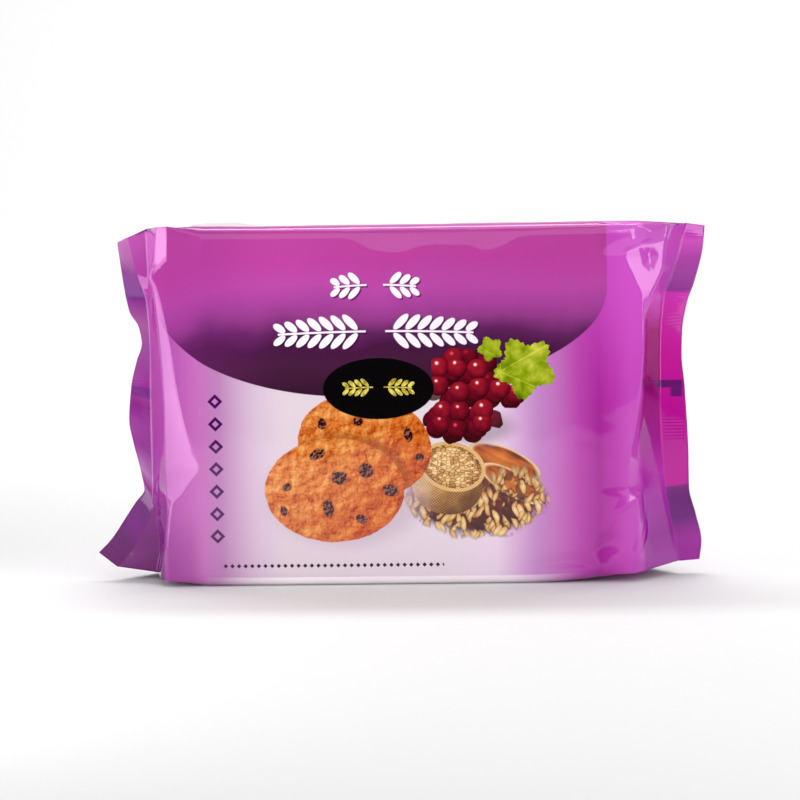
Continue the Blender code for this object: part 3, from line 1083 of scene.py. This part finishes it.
def leaf(under, x, z, middle, stalk, radius, angle):
    """A lobed leaf with toothed edges, and veins that fan out from its stalk."""
    along, across = turned(x, z, middle, angle)
    bearing = Field.maths("ARCTAN2", across, along)
    away = root(square(along) + square(across)) / radius
    lobes = Field.maths("COSINE", bearing * 5.0) * 0.15
    teeth = Field.maths("PINGPONG", bearing * 4.7 + away, 0.5) * 0.16
    edge = lobes + teeth + 0.82 + (cloud(x, z, 6.0) - 0.5) * 0.1
    fan_x, fan_z = x - stalk[0], z - stalk[1]
    fan = Field.maths("ARCTAN2", fan_z, fan_x) - math.radians(angle)
    reached = root(square(fan_x) + square(fan_z)) / radius
    off_vein = magnitude(Field.maths("SINE", fan * 3.4))
    vein = rise(off_vein * reached, 0.1, 0.03)
    side_vein = rise(magnitude(Field.maths("SINE", reached * 11.0 - off_vein * 4.0)), 0.3, 0.0)
    tone = (cloud(x, z, 5.0) - 0.5) * 1.2 + across / radius * 0.16 + side_vein * 0.08 + 0.5
    face = graded(tone + vein * 0.26, LEAF_STOPS)
    return paint(under, face, rise(away / edge, 1.01, 0.98))


def kernels(under, x, z, angle, within, offset):
    """Long pale kernels of grain that lie one way, each within a cell of its own."""
    turned_x, turned_z = turned(x, z, (offset, -offset), angle)
    bent_z = turned_z + (cloud(x, z, 9.0) - 0.5) * 3.0
    distance, own, _, _ = cells(turned_x * 0.36, bent_z, 2.6, 0.8)
    kernel = rise(distance, 1.15, 0.95) * within * rise(own, 0.12, 0.16)
    under = paint(under, (60, 32, 10), rise(distance, 1.5, 1.05) * within * 0.75)
    tone = 1.06 - distance * 0.45 - own * 0.25
    return paint(under, graded(tone, OAT_STOPS), kernel)


def straw(under, x, z, patch):
    """Long streaks of straw, which fade out at the rim of the patch."""
    along, across = turned(x, z, GRAIN_PATCH[0], -24.0)
    tone = cloud(along * 0.16, across, 3.4)
    tone = tone * 1.3 - 0.12 + rise(z, 40.0, 54.0) * 0.35 - rise(z, 36.0, 28.0) * 0.25
    return paint(under, graded(tone, STRAW_STOPS), rise(patch, 1.06, 0.84))


def scoops(under, x, z, patch):
    """Wooden scoops with pale rims, on the straw."""
    for middle, radii, angle in SCOOPS:
        share = reach(x, z, middle, radii, angle)
        along, across = turned(x, z, middle, angle)
        grain = cloud(along * 0.25, across, 2.6) * 0.7 + rise(share, 0.8, 0.3) * 0.2
        scoop = paint(graded(grain + 0.2, STRAW_STOPS), (232, 196, 140), rise(share, 0.82, 0.95))
        under = paint(under, scoop, rise(share, 1.02, 0.98) * rise(patch, 1.25, 1.1))
    return under


def bowl(under, x, z):
    """A woven bowl with a pale rim, filled with flakes."""
    weave_x, weave_z = turned(x, z, BOWL_BODY[0], -10.0)
    weft = Field.maths("SINE", weave_z * 5.4) * Field.maths("SINE", weave_x * 5.4)
    body = weft * 0.2 + 0.66 - weave_x / 14.0 * 0.3 + weave_z / 11.0 * 0.25
    sack = disc(x, z, *BOWL_BODY) * rise(z, 50.0, 49.0)
    under = paint(under, graded(body + (cloud(x, z, 5.0) - 0.5) * 0.4, SACK_STOPS), sack)
    rim = (BOWL_MOUTH[0], (BOWL_MOUTH[1][0] + 1.5, BOWL_MOUTH[1][1] + 1.4), BOWL_MOUTH[2])
    under = paint(under, graded(weft * 0.2 + 0.66, OAT_STOPS), disc(x, z, *rim))
    bent_x = x + (cloud(x, z, 1.5) - 0.5) * 1.2
    _, own, _, _ = cells(bent_x, z * 1.5, 1.8)
    border = cell_borders(bent_x, z * 1.5, 1.8)
    tone = own * 0.55 + 0.42 - rise(border, 0.3, 0.0) * 0.5
    shade = rise(reach(x, z, *BOWL_MOUTH), 0.7, 1.0) * 0.3
    return paint(under, graded(tone - shade, OAT_STOPS), disc(x, z, *BOWL_MOUTH))


def oats(under, x, z):
    """A bowl of flakes on a soft patch of grain, scoops and straw."""
    patch = reach(x, z, *GRAIN_PATCH) + (cloud(x, z, 14.0) - 0.5) * 0.3
    under = straw(under, x, z, patch)
    under = scoops(under, x, z, patch)
    low = lesser(rise(z, 39.0, 33.0) + rise(x, 33.0, 40.0) * rise(z, 48.0, 42.0), 1.0)
    within = low * rise(patch, 1.08, 0.98)
    under = kernels(under, x, z, 104.0, within, 11.0)
    under = kernels(under, x, z, 62.0, within * rise(cloud(x, z, 8.0), 0.45, 0.5), 3.0)
    return bowl(under, x, z)


def ears(x, z, middle, half_length, height):
    """Two ears of grain that point outwards from a middle, and taper to their tips."""
    out = magnitude(x - middle[0])
    share = out / half_length
    off = magnitude(z - middle[1] + square(share) * height * 0.12)
    thickness = (1.12 - square(share) * 0.5) * height
    step = height * 0.5
    past = out - off * 0.75
    slot = Field.maths("FLOORED_MODULO", past, step) - step / 2
    grain = root(square(slot / (step * 0.4)) + square((off - thickness * 0.36) / (thickness * 0.3)))
    whole = math.floor(half_length / step)
    stem = between(off, -1.0, 0.1 + height * 0.03) * between(out, height * 0.4, step * whole)
    return either(rise(grain, 1.08, 0.92) * between(past, step, step * whole, 0.02), stem)


def diamonds(along, across, span, spacing):
    """How far the nearest of a row of diamonds is, and 1 within the row's span."""
    slot = Field.maths("FLOORED_MODULO", along - span[0], spacing) - spacing / 2
    return magnitude(slot) + magnitude(across), between(along, *span)


def ornaments(under, x, z):
    """Plain ornaments in pale, gold and dark ink."""
    for middle, half_length, height in TITLE_EARS:
        shifted = (x - TITLE_SHADOW_SHIFT, z + TITLE_SHADOW_SHIFT)
        shadow = ears(*shifted, middle, half_length, height)
        under = paint(under, TITLE_SHADOW, shadow * 0.75)
        under = paint(under, TITLE_COLOUR, ears(x, z, middle, half_length, height))
    under = paint(under, OVAL_COLOUR, disc(x, z, *OVAL))
    under = paint(under, graded(cloud(x, z, 2.0), GOLD_STOPS), ears(x, z, *OVAL_EARS))
    away, within = diamonds(z, x - COLUMN_X, COLUMN_SPAN, COLUMN_SPACING)
    hollow_diamond = rise(away, 3.1, 2.8) * rise(away, 1.2, 1.5)
    under = paint(under, COLUMN_COLOUR, hollow_diamond * within)
    away, within = diamonds(x, z - RULE_Z, RULE_SPAN, RULE_SPACING)
    return paint(under, RULE_COLOUR, rise(away, 1.0, 0.8) * within)


def cookies(under, x, z):
    """The two cookies, the front one casting a shadow on the other."""
    under = cookie(under, x, z, REAR_COOKIE, REAR_RAISINS)
    shape, softness, colour = COOKIE_SHADOW
    shadow = disc(x, z, *shape, softness) * disc(x, z, *REAR_COOKIE)
    under = paint(under, colour, shadow * SHADOW_STRENGTH)
    return cookie(under, x, z, FRONT_COOKIE, FRONT_RAISINS)


def leaves(under, x, z):
    """The large leaf over the small one."""
    return leaf(leaf(under, x, z, **SMALL_LEAF), x, z, **LEAF)


def shadows(under, x, z):
    """The soft shadows of the cookies and the grapes on the pale field."""
    for shape, softness, colour in FIELD_SHADOWS:
        under = paint(under, colour, disc(x, z, *shape, softness) * SHADOW_STRENGTH)
    return under


def front_print(x, z):
    """The whole print of the front, layer over layer."""
    colour = grouped(front_field, x, z)
    for layer in (oats, shadows, grapes, leaves, cookies, ornaments):
        colour = grouped(layer, colour, x, z)
    return colour


BACK_STOPS = (
    (-110.0, (150, 54, 142)),
    (-60.0, (176, 70, 164)),
    (60.0, (176, 70, 164)),
    (110.0, (150, 54, 142)),
)
BACK_PANELS = (((0.0, 31.0), (74.0, 22.0)), ((0.0, 107.0), (74.0, 24.0)))
PANEL_CORNER = 4.0
PANEL_COLOUR = (228, 208, 224)
SEAM_COLOUR = (132, 46, 134)


def back_print(x, z):
    """A violet back with two bare pale panels and a darker seam."""
    colour = graded(x, BACK_STOPS)
    for middle, half in BACK_PANELS:
        over_x = greater(magnitude(x - middle[0]) - (half[0] - PANEL_CORNER), 0.0)
        over_z = greater(magnitude(z - middle[1]) - (half[1] - PANEL_CORNER), 0.0)
        corner = root(square(over_x) + square(over_z))
        panel = rise(corner, PANEL_CORNER + 0.1, PANEL_CORNER - 0.1)
        colour = paint(colour, PANEL_COLOUR, panel)
    return paint(colour, SEAM_COLOUR, between(z, SEAM_FOOT, SEAM_FOOT + SEAM_WIDTH))


# The film past the front's ends, and the fins, each by height: their inks with painted light and shade,
# darker where the film turns away and paler in painted highlights
LEFT_PANEL_PRINT_AND_SHADING = (
    (6.0, (106, 24, 104)),
    (16.0, (108, 26, 108)),
    (26.0, (116, 28, 114)),
    (36.0, (134, 28, 128)),
    (40.0, (138, 30, 132)),
    (75.0, (142, 50, 132)),
    (110.0, (149, 44, 134)),
    (122.0, (160, 62, 148)),
    (136.0, (172, 80, 160)),
)
RIGHT_PANEL_PRINT_AND_SHADING = (
    (5.0, (158, 44, 158)),
    (15.0, (148, 18, 148)),
    (30.0, (162, 24, 162)),
    (42.0, (180, 50, 168)),
    (55.0, (161, 30, 144)),
    (66.0, (152, 36, 127)),
    (78.0, (139, 20, 103)),
    (98.0, (145, 14, 104)),
    (105.0, (188, 60, 168)),
    (112.0, (205, 78, 194)),
    (125.0, (204, 84, 198)),
    (140.0, (198, 84, 188)),
)
LEFT_FIN_PRINT_AND_SHADING = (
    (10.0, (94, 18, 95)),
    (16.0, (107, 18, 116)),
    (30.0, (91, 20, 98)),
    (35.0, (124, 18, 121)),
    (40.0, (154, 95, 153)),
    (50.0, (134, 41, 133)),
    (60.0, (142, 54, 141)),
    (68.0, (132, 45, 128)),
    (71.6, (144, 56, 138)),
    (72.0, (120, 49, 129)),
    (75.8, (122, 48, 128)),
    (76.2, (146, 54, 142)),
    (90.0, (151, 81, 151)),
    (100.0, (166, 94, 157)),
    (110.6, (134, 53, 136)),
    (111.0, (117, 54, 135)),
    (122.0, (134, 64, 138)),
    (130.0, (172, 106, 162)),
    (138.0, (180, 108, 170)),
)
RIGHT_FIN_PRINT_AND_SHADING = (
    (10.0, (161, 37, 157)),
    (20.0, (106, 14, 120)),
    (30.0, (108, 18, 116)),
    (34.8, (120, 32, 123)),
    (35.1, (196, 24, 158)),
    (60.0, (196, 22, 158)),
    (90.0, (214, 40, 168)),
    (112.4, (212, 65, 184)),
    (112.7, (155, 64, 157)),
    (119.0, (165, 79, 165)),
    (126.0, (184, 78, 176)),
    (133.0, (216, 94, 199)),
    (138.0, (193, 29, 180)),
)
RIGHT_MARKS = (((75.2, 78.4), (-0.12, 0.92)), ((71.6, 75.2), (0.42, 0.88)))
MARK_COLOUR = (112, 34, 118)
FREE_EDGE_COLOUR = (236, 170, 220)

# Each end's sign, its inks with painted light and shade, and where along the film its panel fades in
ENDS = (
    (-1.0, LEFT_PANEL_PRINT_AND_SHADING, LEFT_FIN_PRINT_AND_SHADING, (-93.5, -95.0)),
    (1.0, RIGHT_PANEL_PRINT_AND_SHADING, RIGHT_FIN_PRINT_AND_SHADING, (96.0, 100.0)),
)


def ends_print(under, x, z, fin):
    """The film past the front's ends: panels in painted light and shade, then the fins' blocks of colour
    with painted light and shade over them.
    """
    for sign, panel_shading, fin_shading, fade in ENDS:
        side = rise(x * sign, -0.1, 0.1)
        # Painted light and shade of the end panels and the fins, changing with height
        under = paint(under, graded(z, panel_shading), rise(x, *fade) * side)
        under = paint(under, graded(z, fin_shading), rise(fin, -0.02, 0.0) * side)
    for height, width in RIGHT_MARKS:
        mark = between(z, *height) * between(fin, *width) * rise(x, -0.1, 0.1)
        under = paint(under, MARK_COLOUR, mark)
    return paint(under, FREE_EDGE_COLOUR, rise(fin, 0.975, 0.99))


FILM_ROUGHNESS = 0.05
FILM_SPECULAR_LEVEL = 0.6
FILM_SPECULAR_TINT = (1.0, 0.78, 0.96, 1.0)
RELIEF_DEPTH = 0.02
CRIMP_SPACING = 1.3


def film_relief(x, z, fin):
    """Fine relief of the film: faint crinkles, and the crimped lines of the fins."""
    crinkle = cloud(x, z, 3.0, 3.0) * 0.5
    strength = rise(fin, 0.0, 0.1) * rise(cloud(x, z, 9.0), 0.42, 0.6)
    crimp = Field.maths("SINE", z * (2.0 * math.pi / CRIMP_SPACING)) * strength * 0.5
    return crinkle + crimp


def film_material():
    """The glossy printed film, with painted light and shade at its ends and on its front."""
    material = bpy.data.materials.new("film")
    material.use_nodes = True
    Field.tree = material.node_tree
    shader = material.node_tree.nodes["Principled BSDF"]
    x, z, way = split(attribute("print_place")["Vector"])
    fin = Field(attribute("fin_share")["Fac"])
    front = grouped(ends_print, front_print(x, z), x, z, fin)
    colour = paint(front, grouped(back_print, x, z), rise(way, 0.98, 0.99))
    material.node_tree.links.new(colour, shader.inputs["Base Color"])
    bump = material.node_tree.nodes.new("ShaderNodeBump")
    bump.inputs["Strength"].default_value = 1.0
    bump.inputs["Distance"].default_value = RELIEF_DEPTH * MILLIMETRE
    material.node_tree.links.new(film_relief(x, z, fin).socket, bump.inputs["Height"])
    material.node_tree.links.new(bump.outputs["Normal"], shader.inputs["Normal"])
    shader.inputs["Roughness"].default_value = FILM_ROUGHNESS
    shader.inputs["Specular IOR Level"].default_value = FILM_SPECULAR_LEVEL
    shader.inputs["Specular Tint"].default_value = FILM_SPECULAR_TINT
    return material


def aim(thing, target):
    """Turns a camera or a light towards a point."""
    thing.rotation_euler = (Vector(target) - thing.location).to_track_quat("-Z", "Y").to_euler()


CAMERA_DISTANCE = 1.10
CAMERA_ELEVATION = math.radians(6.0)
CAMERA_AZIMUTH = math.radians(1.5)
CAMERA_ROLL = math.radians(-0.85)
CAMERA_TARGET = (0.0001, 0.0, 0.0709)
VIEW_WIDTH = 0.3178
SENSOR_WIDTH = 36.0


def make_camera():
    """A camera slightly above and to the right of the pack, a little rolled."""
    lens = bpy.data.cameras.new("camera")
    lens.sensor_width = SENSOR_WIDTH
    lens.lens = SENSOR_WIDTH * CAMERA_DISTANCE / VIEW_WIDTH
    camera = add_object("camera", lens)
    level = CAMERA_DISTANCE * math.cos(CAMERA_ELEVATION)
    offset = (
        level * math.sin(CAMERA_AZIMUTH),
        -level * math.cos(CAMERA_AZIMUTH),
        CAMERA_DISTANCE * math.sin(CAMERA_ELEVATION),
    )
    camera.location = Vector(CAMERA_TARGET) + Vector(offset)
    aim(camera, CAMERA_TARGET)
    camera.rotation_euler.rotate_axis("Z", CAMERA_ROLL)
    bpy.context.scene.camera = camera


# Each soft light as (name, place, target, width, height, brightness), in metres, with
# its brightness as a share of the picture's white
SOFTBOXES = (
    ("light_left", (-0.345, -0.19, 0.195), (-0.085, -0.19, 0.405), 0.34, 0.50, 3.7),
    ("light_right", (0.458, -0.435, 0.21), (0.10, 0.0, 0.12), 0.17, 0.34, 4.8),
    ("light_above_camera", (0.55, -1.35, 1.05), (0.0, 0.0, 0.08), 2.6, 1.5, 1.2),
    ("light_top", (0.1, 0.10, 0.90), (0.0, 0.0, 0.0), 0.8, 0.6, 2.2),
    ("light_backdrop", (0.0, 0.60, 1.50), (0.0, 1.60, 0.20), 2.4, 0.5, 8.6),
)


def make_lights():
    """The soft lights, each as bright as a white sheet of its size."""
    for name, place, target, width, height, brightness in SOFTBOXES:
        lamp = bpy.data.lights.new(name, "AREA")
        lamp.shape = "RECTANGLE"
        lamp.size, lamp.size_y = width, height
        lamp.energy = brightness * math.pi * width * height
        light = add_object(name, lamp)
        light.location = place
        aim(light, target)


FLOOR_WIDTH = 6.0
FLOOR_FRONT = -0.45
FLOOR_BACK = 1.2
BACKDROP_RADIUS = 0.5
BACKDROP_HEIGHT = 2.4
FLOOR_COLOUR = (0.78, 0.78, 0.78, 1.0)
SKY_STRENGTH = 0.06


def make_floor():
    """A pale floor that curves up into a backdrop behind the pack."""
    turn = np.linspace(0.0, math.pi / 2, 13)
    ys = [FLOOR_FRONT, *(FLOOR_BACK + BACKDROP_RADIUS * np.sin(turn))]
    zs = [0.0, *(BACKDROP_RADIUS * (1.0 - np.cos(turn)))]
    ys.append(ys[-1])
    zs.append(BACKDROP_HEIGHT)
    points = [(x, y, z) for y, z in zip(ys, zs) for x in (-FLOOR_WIDTH / 2, FLOOR_WIDTH / 2)]
    faces = [(2 * i, 2 * i + 1, 2 * i + 3, 2 * i + 2) for i in range(len(ys) - 1)]
    mesh = bpy.data.meshes.new("floor")
    mesh.from_pydata(points, [], faces)
    mesh.shade_smooth()
    floor = add_object("floor", mesh)
    material = bpy.data.materials.new("floor")
    material.use_nodes = True
    shader = material.node_tree.nodes["Principled BSDF"]
    shader.inputs["Base Color"].default_value = FLOOR_COLOUR
    shader.inputs["Roughness"].default_value = 0.9
    shader.inputs["Specular IOR Level"].default_value = 0.0
    mesh.materials.append(material)


def make_world():
    """A faint even light from all round."""
    world = bpy.data.worlds.new("studio")
    world.use_nodes = True
    background = world.node_tree.nodes["Background"]
    background.inputs["Color"].default_value = (1.0, 1.0, 1.0, 1.0)
    background.inputs["Strength"].default_value = SKY_STRENGTH
    bpy.context.scene.world = world
    bpy.context.scene.view_settings.view_transform = "Standard"


def main():
    """Builds the film and its studio."""
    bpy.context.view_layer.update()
    piece = film_object()
    piece.data.materials.append(film_material())
    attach(piece, "root")
    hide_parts("wrapper")
    make_camera()
    make_lights()
    make_floor()
    make_world()


main()
